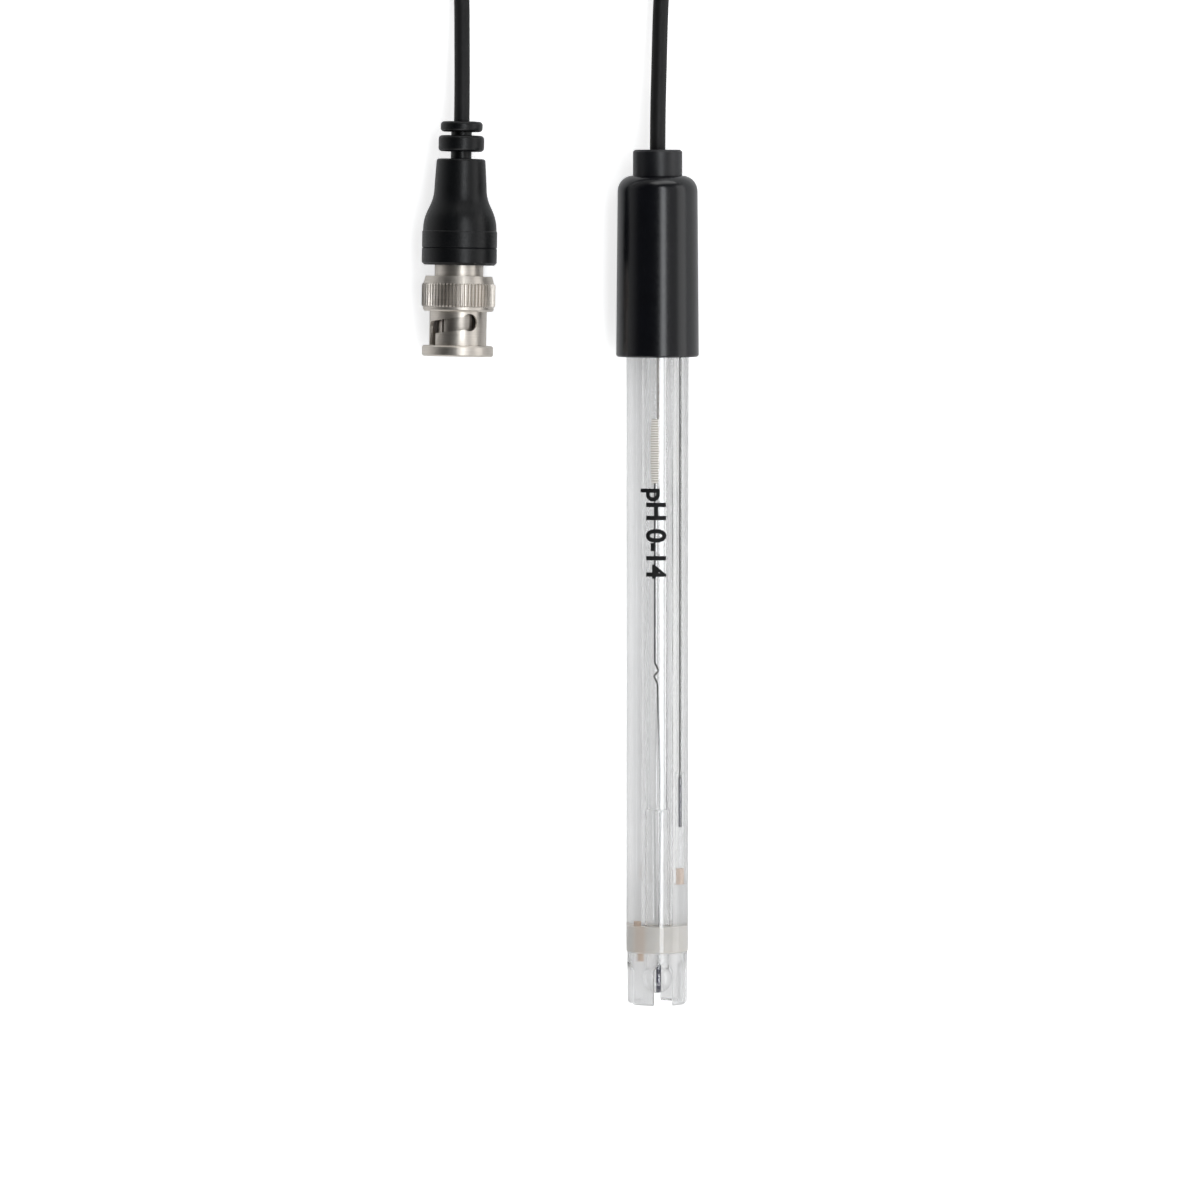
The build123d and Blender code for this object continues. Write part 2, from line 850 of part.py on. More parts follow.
for name, route in (("lead", lead_route), ("tail", tail_route)):
    print(name, "arc radii", [round(radius, 1) for radius in corner_radii(route, cord_arc_share)])
print("lean", round(lean, 4), "mid shank", on_electrode((guard_length + body_length) / 2))
print("cord exit", on_electrode(electrode_length), "plug face", on_plug(0), "plug rear", on_plug(boot_end))
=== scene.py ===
import json
from math import pi, radians

import bmesh
import bpy
import numpy as np
from bpy.props import FloatProperty, FloatVectorProperty, IntProperty, PointerProperty, StringProperty
from mathutils import Matrix, Vector


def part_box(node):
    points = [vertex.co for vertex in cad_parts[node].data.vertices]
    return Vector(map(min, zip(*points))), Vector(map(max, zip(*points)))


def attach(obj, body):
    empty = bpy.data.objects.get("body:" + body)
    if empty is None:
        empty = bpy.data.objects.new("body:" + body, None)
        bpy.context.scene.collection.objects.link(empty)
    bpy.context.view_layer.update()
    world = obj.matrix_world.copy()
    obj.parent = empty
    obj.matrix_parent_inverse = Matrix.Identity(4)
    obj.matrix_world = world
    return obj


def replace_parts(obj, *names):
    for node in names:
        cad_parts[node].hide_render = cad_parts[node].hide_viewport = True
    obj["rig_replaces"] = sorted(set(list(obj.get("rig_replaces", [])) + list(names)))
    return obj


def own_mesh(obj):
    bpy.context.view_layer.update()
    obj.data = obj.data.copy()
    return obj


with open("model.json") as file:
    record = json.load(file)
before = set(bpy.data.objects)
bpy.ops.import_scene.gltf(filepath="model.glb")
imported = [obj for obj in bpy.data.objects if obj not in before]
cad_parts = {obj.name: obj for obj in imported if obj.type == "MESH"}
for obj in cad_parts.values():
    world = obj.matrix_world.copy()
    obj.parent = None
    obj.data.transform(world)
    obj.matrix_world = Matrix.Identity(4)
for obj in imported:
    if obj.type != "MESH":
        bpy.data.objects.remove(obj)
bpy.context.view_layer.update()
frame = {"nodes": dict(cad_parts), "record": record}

bl_info = {
    "name": "pH electrode",
    "version": (1, 0, 0),
    "blender": (4, 5, 0),
    "location": "View3D > Sidebar > Electrode",
    "description": "Dresses a packed pH electrode with its cord, fillings, range mark, finishes and stage",
    "category": "Object",
}

MM = 0.001
cad_nodes = frame["nodes"]
record = frame["record"]
node_slots = {part["node"]: part["material_slot"] for part in record["subparts"]}

# Heights on the electrode above its guard end, the first at the shank's mount
SHANK_MIDDLE = 67.875 * MM
GUARD_LENGTH = 10.35 * MM
WRAP_HEIGHT = 101.0 * MM
CAP_TOP = 160.3 * MM
ELECTRODE_LENGTH = 165.3 * MM

# Radius of the shank, place of the wick across it, and pitch of the joint's 26 turns of fibre
SHANK_RADIUS = 6.0 * MM
WICK_SIDE = -3.15 * MM
WRAP_PITCH = 12.4 * MM / 26

# How far the cord runs straight on where it leaves the cap and the boot
CORD_LEAVE = 5.0 * MM

# Heights on the plug above its face and radii of its coupling
PLUG_CORD_END = 41.05 * MM
BOOT_END = 45.3 * MM
KNURL_LOW = 9.5 * MM
KNURL_HIGH = 14.1 * MM
KNURL_RADIUS = 7.125 * MM
KNURL_DEPTH = 0.3 * MM
SLEEVE_RADIUS = 5.53 * MM
COUPLING_BORE_RADIUS = 4.9 * MM

# Share of the plate's colour left as painted shade between the knurl's teeth and in the bayonet ways
TEETH_PAINTED_SHADE = 0.72
WAYS_PAINTED_SHADE = 0.75

# The boot's band of turning rings: its middle above the plug's face, half its length, and the rings' pitch
RING_BAND_MIDDLE = 22.55 * MM
RING_BAND_HALF = 1.4 * MM
RING_PITCH = 0.32 * MM

# How near to a filling's top its level's points lie, and how near to the wall those of its rim
LEVEL_BAND = 0.05 * MM
RIM_SHARE = 0.8

# Values of a noise at which its ramp reaches its ends
NOISE_SPAN = (0.3, 0.7)

# Refractive index of the electrolyte gel
GEL_INDEX = 1.345

# Roughness of the guard's round faces and of its ends and slot walls, and the cosines that tell them apart
GUARD_ROUGHNESS = 0.22
CUT_ROUGHNESS = 0.6
ROUND_COSINE = 0.95
CUT_COSINE = 0.6

# Warmth of the wick in the seal: its share beside the wick, and the distances where it starts to fade and ends
WARM_SHARE = 0.45
WARM_NEAR = 0.3 * MM
WARM_FAR = 1.6 * MM

# Share of the light that passes a face of the shank, and a face of glass or gel
SHANK_PASS = 0.99
GLASS_PASS = 0.997

# Print, for letters of size one: how far they are thickened, and the heights between which they lie. The width of
# the strips that they are cut into
LETTER_WEIGHT = 0.03
LETTER_FOOT = -0.3
LETTER_HEAD = 1.0
LETTER_STRIP = 0.15 * MM

# Routes of the cord between the cap and the coil and between the coil and the plug, in metres
LEAD_ROUTE = [
    (0.0003, 0.0990, 0.0072),
    (0.0006, 0.1105, 0.0042),
    (0.0013, 0.1220, 0.0021),
    (0.0019, 0.1315, 0.00165),
    (0.0020, 0.1410, 0.0016),
]
TAIL_ROUTE = [
    (-0.0400, 0.1410, 0.0075),
    (-0.03995, 0.1325, 0.0070),
    (-0.0386, 0.1230, 0.0046),
    (-0.0378, 0.1135, 0.0026),
    (-0.03775, 0.1038, 0.0046),
]
COIL_CENTRE = (-0.019, 0.141)

# Coil of the cord: turns made so far, radius and height in millimetres, with a hump where it crosses itself
COIL_STATIONS = np.array([
    (0.00, 21.0, 1.5), (0.75, 21.0, 1.5), (1.00, 18.0, 1.5), (1.75, 18.0, 1.5), (2.00, 15.0, 1.5),
    (2.75, 15.0, 1.5), (3.00, 15.0, 4.5), (3.55, 15.0, 4.5), (3.75, 18.0, 4.5), (4.55, 18.0, 4.5),
    (4.75, 21.0, 4.5), (5.55, 21.0, 4.5), (5.75, 21.0, 7.5), (5.80, 21.0, 7.5), (6.00, 18.0, 7.5),
    (6.55, 18.0, 7.5), (6.80, 18.6, 9.9), (6.95, 20.4, 9.9), (7.20, 21.0, 7.5), (7.50, 21.0, 7.5),
])

# Share of the spline's sag inside its points that a wider radius makes up
SAG_SHARE = 0.75

# Swell of the coil over its tie: its place in each turn, its rise, the share of the height that it loses, and its
# reach in turns
TIE_TURN = 0.25
SWELL_RISE = 0.52 * MM
SWELL_LOSS = 0.032
SWELL_REACH = 0.07

# Pitch of the tie's weave, and what a wave texture's diagonal bands measure at scale one
WEAVE_PITCH = 1.98 * MM
WAVE_PERIOD = 2 * pi / 10

# Angle between two faces from which their edge is sharp, and a length that is safe to divide by
CREASE = radians(35)
TINY = 1e-18

# Steps round the tie's loop and round its section, and the power of the section's superellipse
LOOP_STEPS = 160
SECTION_STEPS = 32
SECTION_POWER = 6.0

# Lamps: place, point looked at, width and length in metres, and the setting of their brightness
LAMPS = {
    "strip": ((0.27, 0.03, 0.95), (0.0, 0.03, 0.0), 0.24, 1.3, "strip_radiance"),
    "fill_panel": ((0.68, 0.0, 0.74), (0.0, 0.0, 0.0), 0.56, 1.4, "fill_radiance"),
    "left_panel": ((-0.75, 0.0, 0.6), (0.0, 0.0, 0.0), 0.45, 1.4, "left_radiance"),
    "side_panel": ((0.85, 0.0, 0.26), (0.0, 0.0, 0.0), 0.45, 1.4, "side_radiance"),
    "head_panel": ((0.3, 1.4, 0.42), (0.0, 0.0, 0.0), 1.4, 0.6, "end_radiance"),
    "foot_panel": ((0.0, -1.15, 0.95), (0.0, 0.0, 0.0), 1.4, 0.8, "end_radiance"),
}

# Tint of the strip, a little cooler than the panels
COOL_TINT = (0.95, 0.975, 1.0)

# Bounces of light, enough for the many clear walls of the electrode
LIGHT_BOUNCES = 32

# The floor's reach, and how much brighter than its paint the camera sees it
FLOOR_REACH = 4.0
FLOOR_GLOW = 0.6

# Upward parts of a direction between which the surroundings go from their low to their high brightness
SKY_LOW_END = 0.1
SKY_HIGH_START = 0.55


def linear(code):
    """An sRGB hex colour as linear red, green and blue."""
    values = np.array([int(code[i:i + 2], 16) for i in (1, 3, 5)]) / 255
    return tuple(np.where(values <= 0.04045, values / 12.92, ((values + 0.055) / 1.055) ** 2.4).tolist())


def lie(mount_name, height):
    """Where a straight part lies, from a mount at a height on its axis: the point at height zero, its right,
    its front, which looks up, and the way along it toward the cord."""
    mount = next(entry for entry in record["mounts"] if entry["name"] == mount_name)
    along = -np.array(mount["axis"])
    along /= np.linalg.norm(along)
    right = np.cross(along, (0, 0, 1))
    right /= np.linalg.norm(right)
    return np.array(mount["pos_m"]) - height * along, right, np.cross(right, along), along


electrode_lie = lie("body_shank", SHANK_MIDDLE)
plug_lie = lie("plug_face", 0.0)


def on_axis(part_lie, height):
    """The point of a part's axis at a height."""
    return tuple((part_lie[0] + height * part_lie[3]).tolist())


class CordSettings(bpy.types.PropertyGroup):
    """The cord, its coil and its tie."""

    diameter: FloatProperty(name="Cord diameter", description="Thickness of the cord", default=3.0 * MM, unit="LENGTH")
    length: FloatProperty(name="Cord length", description="Length from cap to plug", default=1.0, unit="LENGTH")
    turn_points: IntProperty(name="Points per turn", description="Control points in each turn of the coil", default=16)
    tie_thickness: FloatProperty(
        name="Tie thickness", description="Thickness of the tie", default=0.5 * MM, unit="LENGTH"
    )
    tie_squareness: FloatProperty(name="Tie squareness", description="Power of the tie's loop: 2 is round", default=9.0)


class ElectrodeSettings(bpy.types.PropertyGroup):
    """Fillings and mark of the electrode."""

    overlap: FloatProperty(
        name="Filling growth",
        description="How far a filling grows to wet the walls around it",
        default=0.12 * MM,
        unit="LENGTH",
    )
    meniscus: FloatProperty(
        name="Meniscus",
        description="How far the middle of a filling's level lies below its rim",
        default=0.7 * MM,
        unit="LENGTH",
    )
    plug_overlap: FloatProperty(
        name="Plug growth",
        description="How far the seal and the inner junction grow into the walls around them",
        default=0.06 * MM,
        unit="LENGTH",
    )
    mark_text: StringProperty(name="Mark", description="Range printed on the shank", default="pH 0-14")
    mark_length: FloatProperty(name="Mark length", description="Length of the print", default=17.5 * MM, unit="LENGTH")
    mark_top: FloatProperty(
        name="Mark top", description="Height where the print starts", default=100.3 * MM, unit="LENGTH"
    )
    mark_side: FloatProperty(name="Mark side", description="Base line of the print", default=-2.1 * MM, unit="LENGTH")
    mark_depth: FloatProperty(name="Ink depth", description="Thickness of the ink", default=0.02 * MM, unit="LENGTH")


class FinishSettings(bpy.types.PropertyGroup):
    """Colours of the main finishes."""

    cap: FloatVectorProperty(name="Cap", description="Moulded cap", subtype="COLOR", default=linear("#07080d"))
    boot: FloatVectorProperty(name="Boot", description="Moulded boot", subtype="COLOR", default=linear("#050608"))
    cord: FloatVectorProperty(name="Cord", description="Cord jacket", subtype="COLOR", default=linear("#0c0c0d"))
    shank: FloatVectorProperty(name="Shank", description="Clear shank", subtype="COLOR", default=linear("#fefefe"))
    metal: FloatVectorProperty(name="Plug", description="Plated metal", subtype="COLOR", default=linear("#ddd6cd"))
    seal: FloatVectorProperty(name="Tip seal", description="Cast seal", subtype="COLOR", default=linear("#cbc8c3"))
    wick: FloatVectorProperty(name="Junctions", description="Porous plugs", subtype="COLOR", default=linear("#cdb7a5"))
    ink: FloatVectorProperty(name="Ink", description="Printed mark", subtype="COLOR", default=linear("#08090a"))


class StageSettings(bpy.types.PropertyGroup):
    """Camera, lamps and floor."""

    view_width: FloatProperty(name="View width", description="Width of the view", default=0.2321, unit="LENGTH")
    view_centre: FloatVectorProperty(
        name="View centre", description="Middle of the view", subtype="XYZ", default=(-0.0111, -0.0043, 0.007)
    )
    camera_offset: FloatVectorProperty(
        name="Camera offset", description="Camera from the middle of the view", subtype="XYZ", default=(0.0, 0.062, 1.5)
    )
    strip_radiance: FloatProperty(name="Strip", description="Brightness of the strip lamp", default=4.6)
    fill_radiance: FloatProperty(name="Fill panel", description="Brightness between strip and side", default=0.4)
    left_radiance: FloatProperty(name="Left panel", description="Brightness of the panel for matte pieces", default=1.0)
    side_radiance: FloatProperty(name="Side panel", description="Brightness of the side panel", default=1.2)
    end_radiance: FloatProperty(name="End panels", description="Brightness of the panels at both ends", default=2.1)
    sky_low: FloatProperty(name="Low sky", description="Brightness of the surroundings near the floor", default=0.6)
    sky_high: FloatProperty(name="High sky", description="Brightness of the surroundings overhead", default=0.05)
    sky_through: FloatProperty(name="Seen through", description="Surroundings seen through clear pieces", default=0.6)
    floor_colour: FloatVectorProperty(
        name="Floor", description="Colour of the floor", subtype="COLOR", default=linear("#eeeeee")
    )


def settings(name):
    """One group of the scene's electrode settings."""
    return getattr(bpy.context.scene, "ph_" + name)


def feed(tree, node, inputs=None, links=None):
    """Sets a node's input values and links outputs of other nodes to its inputs."""
    for name, value in (inputs or {}).items():
        node.inputs[name].default_value = value
    for name, (source, output) in (links or {}).items():
        tree.links.new(source.outputs[output], node.inputs[name])


def add(tree, kind, inputs=None, links=None, **values):
    """Adds a shader node of a kind, sets its properties and feeds its inputs."""
    node = tree.nodes.new("ShaderNode" + kind)
    for name, value in values.items():
        setattr(node, name, value)
    feed(tree, node, inputs, links)
    return node


def start(name):
    """An empty material with a Principled shader, an output and the object's coordinates."""
    material = bpy.data.materials.new(name)
    material.use_nodes = True
    tree = material.node_tree
    tree.nodes.clear()
    place = add(tree, "TexCoord")
    shader = add(tree, "BsdfPrincipled")
    output = add(tree, "OutputMaterial", links={"Surface": (shader, "BSDF")})
    return material, tree, place, shader, output


def mottled(tree, place, size_mm, low, high, detail=3.0, stretch=(1, 1, 1)):
    """A noise of a given grain that runs from one colour or value to another."""
    where = add(tree, "Mapping", {"Scale": stretch}, {"Vector": (place, "Object")})
    grain = add(tree, "TexNoise", {"Scale": 1 / (size_mm * MM), "Detail": detail}, {"Vector": (where, "Vector")})
    ramp = add(tree, "ValToRGB", links={"Fac": (grain, "Fac")})
    for end, position, value in zip(ramp.color_ramp.elements, NOISE_SPAN, (low, high)):
        end.position = position
        end.color = (*value, 1) if hasattr(value, "__len__") else (value, value, value, 1)
    return grain, ramp


def shade(colour, factor):
    """A colour made lighter or darker."""
    return tuple(min(1.0, channel * factor) for channel in colour)


def roughen(tree, shader, grain, depth_mm):
    """A bump of a given depth from a noise."""
    bump = add(tree, "Bump", {"Strength": 1.0, "Distance": depth_mm * MM}, {"Height": (grain, "Fac")})
    feed(tree, shader, links={"Normal": (bump, "Normal")})
    return bump


def paint(tree, shader, values, tone, gloss=None):
    """Sets a shader's values, and takes its colour from one ramp and its roughness from another, if there is one."""
    links = {"Base Color": (tone, "Color")}
    if gloss is not None:
        links["Roughness"] = (gloss, "Color")
    feed(tree, shader, values, links)


def from_axis(tree, place, part_lie):
    """The height of a shaded point along a part's axis, and the vector from the axis out to the point."""
    origin, _, _, along = part_lie
    way = tuple(along.tolist())
    offset = add(tree, "VectorMath", {1: tuple(origin.tolist())}, {0: (place, "Object")}, operation="SUBTRACT")
    height = add(tree, "VectorMath", {1: way}, {0: (offset, "Vector")}, operation="DOT_PRODUCT")
    foot = add(tree, "VectorMath", {0: way}, {"Scale": (height, "Value")}, operation="SCALE")
    out = add(tree, "VectorMath", links={0: (offset, "Vector"), 1: (foot, "Vector")}, operation="SUBTRACT")
    return height, out


def pass_light(tree, shader, output, share):
    """Lets light from lamps, floor and sky straight through a clear piece, so that what stands in it and under it
    is lit."""
    path = add(tree, "LightPath")
    lit = add(tree, "Math", links={0: (path, "Is Shadow Ray"), 1: (path, "Is Diffuse Ray")}, operation="MAXIMUM")
    clear = add(tree, "BsdfTransparent", {"Color": (share, share, share, 1)})
    either = add(tree, "MixShader", links={"Fac": (lit, "Value"), 1: (shader, "BSDF"), 2: (clear, "BSDF")})
    feed(tree, output, links={"Surface": (either, "Shader")})


def moulded_abs():
    """Injection-moulded ABS: near black and glossy, with a faint orange peel that breaks up the highlight."""
    material, tree, place, shader, _ = start("moulded_abs")
    colour = settings("finish").cap
    _, tone = mottled(tree, place, 4.0, shade(colour, 0.85), shade(colour, 1.2))
    peel, gloss = mottled(tree, place, 0.9, 0.2, 0.25)
    paint(tree, shader, {"IOR": 1.54}, tone, gloss)
    roughen(tree, shader, peel, 0.0008)
    return material


def satin_abs():
    """The grommet's moulded ABS: as dark as the cap, with a satin skin."""
    material, tree, place, shader, _ = start("satin_abs")
    colour = settings("finish").cap
    peel, gloss = mottled(tree, place, 0.5, 0.34, 0.46)
    _, tone = mottled(tree, place, 2.5, shade(colour, 1.0), shade(colour, 1.4))
    paint(tree, shader, {"IOR": 1.54}, tone, gloss)
    roughen(tree, shader, peel, 0.003)
    return material


def moulded_vinyl():
    """Soft vinyl moulded over the plug: matte and leathery, with fine turning rings from the mould on its band."""
    material, tree, place, shader, _ = start("moulded_vinyl")
    colour = settings("finish").boot
    leather, gloss = mottled(tree, place, 0.35, 0.3, 0.44, detail=5.0)
    _, tone = mottled(tree, place, 3.0, shade(colour, 0.85), shade(colour, 1.35))
    paint(tree, shader, {"IOR": 1.53, "Specular IOR Level": 0.34}, tone, gloss)
    skin_bump = roughen(tree, shader, leather, 0.012)
    # rings drawn a little coarser than the mould's so that they show, on the band alone
    apart = add(tree, "SeparateXYZ", links={"Vector": (place, "Object")})
    ring = add(tree, "Math", {1: 2 * pi / RING_PITCH}, {0: (apart, "Y")}, operation="MULTIPLY")
    wave = add(tree, "Math", links={0: (ring, "Value")}, operation="SINE")
    band = add(
        tree,
        "Math",
        {1: plug_lie[0][1] + RING_BAND_MIDDLE, 2: RING_BAND_HALF},
        {0: (apart, "Y")},
        operation="COMPARE",
    )
    rings = add(tree, "Math", links={0: (wave, "Value"), 1: (band, "Value")}, operation="MULTIPLY")
    ring_bump = add(
        tree,
        "Bump",
        {"Strength": 0.6, "Distance": 0.012 * MM},
        {"Height": (rings, "Value"), "Normal": (skin_bump, "Normal")},
    )
    feed(tree, shader, links={"Normal": (ring_bump, "Normal")})
    return material


def extruded_vinyl():
    """Extruded vinyl jacket: satin black, with a fine grain and faint dusty patches."""
    material, tree, place, shader, _ = start("extruded_vinyl")
    colour = settings("finish").cord
    grain, gloss = mottled(tree, place, 0.3, 0.46, 0.62, detail=5.0)
    _, tone = mottled(tree, place, 2.0, shade(colour, 0.85), shade(colour, 1.4))
    paint(tree, shader, {"IOR": 1.53, "Specular IOR Level": 0.35}, tone, gloss)
    roughen(tree, shader, grain, 0.012)
    return material


def nylon_strap():
    """Woven nylon tie: dark, with a diagonal weave."""
    material, tree, place, shader, _ = start("nylon_strap")
    weave = add(
        tree,
        "TexWave",
        {"Scale": WAVE_PERIOD / WEAVE_PITCH, "Distortion": 0.6},
        {"Vector": (place, "Object")},
        bands_direction="DIAGONAL",
    )
    _, tone = mottled(tree, place, 1.5, linear("#1d1d1f"), linear("#2a2a2c"))
    paint(tree, shader, {"Roughness": 0.75, "IOR": 1.53}, tone)
    roughen(tree, shader, weave, 0.08)
    return material


def plated_nickel():
    """Nickel plate on turned brass: warm satin grey, rubbed by handling, with painted shade darkening it between the
    knurl's teeth and in the bayonet ways."""
    material, tree, place, shader, _ = start("plated_nickel")
    colour = settings("finish").metal
    _, gloss = mottled(tree, place, 2.2, 0.33, 0.45)
    # turning lines about 0.12 mm apart run round the plug's axis, so the noise is squeezed along Y
    _, tone = mottled(tree, place, 1.2, shade(colour, 0.9), shade(colour, 1.05), stretch=(0.25, 10.0, 0.25))
    height, out = from_axis(tree, place, plug_lie)
    radius = add(tree, "VectorMath", links={0: (out, "Vector")}, operation="LENGTH")
    # painted shade: the plate's colour darkens toward the roots of the knurl's teeth, in place of the shadow there
    teeth = add(
        tree,
        "MapRange",
        {
            "From Min": KNURL_RADIUS - KNURL_DEPTH,
            "From Max": KNURL_RADIUS - KNURL_DEPTH / 2,
            "To Min": TEETH_PAINTED_SHADE,
        },
        {"Value": (radius, "Value")},
    )
    # painted shade: the plate's colour darkens inside the bayonet ways, down toward the contact body
    ways = add(
        tree,
        "MapRange",
        {"From Min": COUPLING_BORE_RADIUS, "From Max": SLEEVE_RADIUS, "To Min": WAYS_PAINTED_SHADE},
        {"Value": (radius, "Value")},
    )
    in_knurl = add(
        tree,
        "Math",
        {1: (KNURL_LOW + KNURL_HIGH) / 2, 2: (KNURL_HIGH - KNURL_LOW) / 2},
        {0: (height, "Value")},
        operation="COMPARE",
    )
    in_front = add(tree, "Math", {1: KNURL_LOW}, {0: (height, "Value")}, operation="LESS_THAN")
    front = add(tree, "Mix", {"A": 1.0}, {"Factor": (in_front, "Value"), "B": (ways, "Result")})
    painted_shade = add(tree, "Mix", links={"Factor": (in_knurl, "Value"), "A": (front, "Result"), "B": (teeth, "Result")})
    # the plate's colour times its painted shade
    shaded_tone = add(tree, "VectorMath", links={0: (tone, "Color"), "Scale": (painted_shade, "Result")}, operation="SCALE")
    feed(tree, shader, {"Metallic": 1.0}, {"Base Color": (shaded_tone, "Vector"), "Roughness": (gloss, "Color")})
    return material


def rolled_spring_steel():
    """Rolled spring steel: plain grey metal with fine rolling marks."""
    material, tree, place, shader, _ = start("rolled_spring_steel")
    rolled, gloss = mottled(tree, place, 0.6, 0.25, 0.4, stretch=(4.0, 0.5, 1.0))
    _, tone = mottled(tree, place, 2.0, linear("#9d9c99"), linear("#b4b3af"))
    paint(tree, shader, {"Metallic": 1.0}, tone, gloss)
    roughen(tree, shader, rolled, 0.004)
    return material


def gold_plate():
    """Gold flash on the contact pin: bright and smooth."""
    material, tree, place, shader, _ = start("gold_plate")
    rub, gloss = mottled(tree, place, 0.5, 0.15, 0.28)
    _, tone = mottled(tree, place, 1.0, linear("#d2a54c"), linear("#e2bd68"))
    paint(tree, shader, {"Metallic": 1.0}, tone, gloss)
    roughen(tree, shader, rub, 0.002)
    return material


def silver_wire():
    """Drawn silver wire: dull grey, tarnished in patches, which reads dark against a pale ground."""
    material, tree, place, shader, _ = start("silver_wire")
    drawn, gloss = mottled(tree, place, 0.4, 0.35, 0.5, stretch=(1.0, 0.2, 1.0))
    _, tone = mottled(tree, place, 3.0, linear("#2c2b29"), linear("#474543"))
    paint(tree, shader, {"Metallic": 1.0}, tone, gloss)
    roughen(tree, shader, drawn, 0.003)
    return material


def tinned_copper():
    """Tinned copper core of the cord: soft grey with warm patches."""
    material, tree, place, shader, _ = start("tinned_copper")
    drawn, gloss = mottled(tree, place, 0.4, 0.3, 0.45, stretch=(1.0, 0.2, 1.0))
    _, tone = mottled(tree, place, 2.0, linear("#6c665e"), linear("#8a837a"))
    paint(tree, shader, {"Metallic": 1.0}, tone, gloss)
    roughen(tree, shader, drawn, 0.003)
    return material


def chloride_coat():
    """Silver chloride coat: dark violet grey, chalky and pitted. Its index is taken against the gel around it."""
    material, tree, place, shader, _ = start("chloride_coat")
    pits, _ = mottled(tree, place, 0.25, 0.0, 1.0, detail=5.0)
    _, tone = mottled(tree, place, 0.8, linear("#100f1e"), linear("#262440"))
    paint(tree, shader, {"Roughness": 0.7, "IOR": 2.07 / GEL_INDEX}, tone)
    roughen(tree, shader, pits, 0.03)
    return material


def wound_fibre():
    """Wound fibre on the joint: pale threads on the ribs, with brown gaps between the turns."""
    material, tree, place, shader, _ = start("wound_fibre")
    height, _ = from_axis(tree, place, electrode_lie)
    turns = add(
        tree,
        "Math",
        {1: 2 * pi / WRAP_PITCH, 2: -2 * pi * WRAP_HEIGHT / WRAP_PITCH},
        {0: (height, "Value")},
        operation="MULTIPLY_ADD",
    )
    wave = add(tree, "Math", links={0: (turns, "Value")}, operation="COSINE")
    rise = add(tree, "MapRange", {"From Min": 1.0, "From Max": -1.0}, {"Value": (wave, "Value")})
    threads = add(tree, "ValToRGB", links={"Fac": (rise, "Result")})
    gap, crown = threads.color_ramp.elements
    gap.color = (*linear("#a79c8c"), 1)
    crown.color = (*linear("#fdfaf4"), 1)
    crown.position = 0.55
    paint(tree, shader, {"Roughness": 0.8, "IOR": 1.5, "Sheen Weight": 0.8, "Sheen Roughness": 0.4}, threads)
    fibre, _ = mottled(tree, place, 0.15, 0.0, 1.0, stretch=(0.4, 1.0, 0.4))
    roughen(tree, shader, fibre, 0.02)
    return material


def unglazed_ceramic():
    """Unglazed porous ceramic: peach, grainy and matte."""
    material, tree, place, shader, _ = start("unglazed_ceramic")
    colour = settings("finish").wick
    pores, tone = mottled(tree, place, 0.22, shade(colour, 0.8), shade(colour, 1.12), detail=5.0)
    paint(tree, shader, {"Roughness": 0.85, "IOR": 1.55}, tone)
    roughen(tree, shader, pores, 0.04)
    return material


def cast_resin():
    """Cast seal: a cloudy beige resin that lets a little light through and shows the wick's warmth near it."""
    material, tree, place, shader, _ = start("cast_resin")
    colour = settings("finish").seal
    cloud, tone = mottled(tree, place, 3.5, shade(colour, 0.95), shade(colour, 1.03))
    apart = add(tree, "SeparateXYZ", links={"Vector": (place, "Object")})
    aside = add(tree, "Math", {1: WICK_SIDE}, {0: (apart, "X")}, operation="SUBTRACT")
    away = add(tree, "Math", links={0: (aside, "Value")}, operation="ABSOLUTE")
    near = add(
        tree,
        "MapRange",
        {"From Min": WARM_NEAR, "From Max": WARM_FAR, "To Min": WARM_SHARE, "To Max": 0.0},
        {"Value": (away, "Value")},
        interpolation_type="SMOOTHSTEP",
    )
    warm = add(
        tree,
        "Mix",
        {"B": (*settings("finish").wick, 1)},
        {"Factor": (near, "Result"), "A": (tone, "Color")},
        data_type="RGBA",
    )
    feed(
        tree,
        shader,
        {
            "Roughness": 0.4,
            "IOR": 1.5,
            "Subsurface Weight": 0.25,
            "Subsurface Radius": (1.0, 0.8, 0.6),
            "Subsurface Scale": 1.0 * MM,
        },
        {"Base Color": (warm, "Result")},
    )
    roughen(tree, shader, cloud, 0.03)
    return material


def moulded_rubber():
    """Dark moulded rubber of the hidden bung: matte, with a fine bloom."""
    material, tree, place, shader, _ = start("moulded_rubber")
    bloom, tone = mottled(tree, place, 0.6, linear("#2b2b2b"), linear("#3b3a39"))
    paint(tree, shader, {"Roughness": 0.8, "IOR": 1.52}, tone)
    roughen(tree, shader, bloom, 0.02)
    return material


def silicone_rubber():
    """Grey silicone of the gasket: smooth, slightly greasy."""
    material, tree, place, shader, _ = start("silicone_rubber")
    film, gloss = mottled(tree, place, 0.8, 0.35, 0.5)
    _, tone = mottled(tree, place, 1.5, linear("#3a3a3c"), linear("#4a4a4c"))
    paint(tree, shader, {"IOR": 1.41}, tone, gloss)
    roughen(tree, shader, film, 0.005)
    return material


def turned_ptfe():
    """Turned PTFE of the insulator: waxy white with faint tool marks."""
    material, tree, place, shader, _ = start("turned_ptfe")
    tool, tone = mottled(tree, place, 0.5, linear("#e6e5e0"), linear("#f3f2ee"), stretch=(1.0, 5.0, 1.0))
    paint(tree, shader, {"Roughness": 0.45, "IOR": 1.35}, tone)
    roughen(tree, shader, tool, 0.006)
    return material


def printed_ink():
    """Pad-printed ink: flat black film with tiny pinholes of grey."""
    material, tree, place, shader, _ = start("printed_ink")
    colour = settings("finish").ink
    _, tone = mottled(tree, place, 0.3, shade(colour, 0.9), shade(colour, 1.5), detail=4.0)
    paint(tree, shader, {"Roughness": 0.6, "Specular IOR Level": 0.3}, tone)
    return material


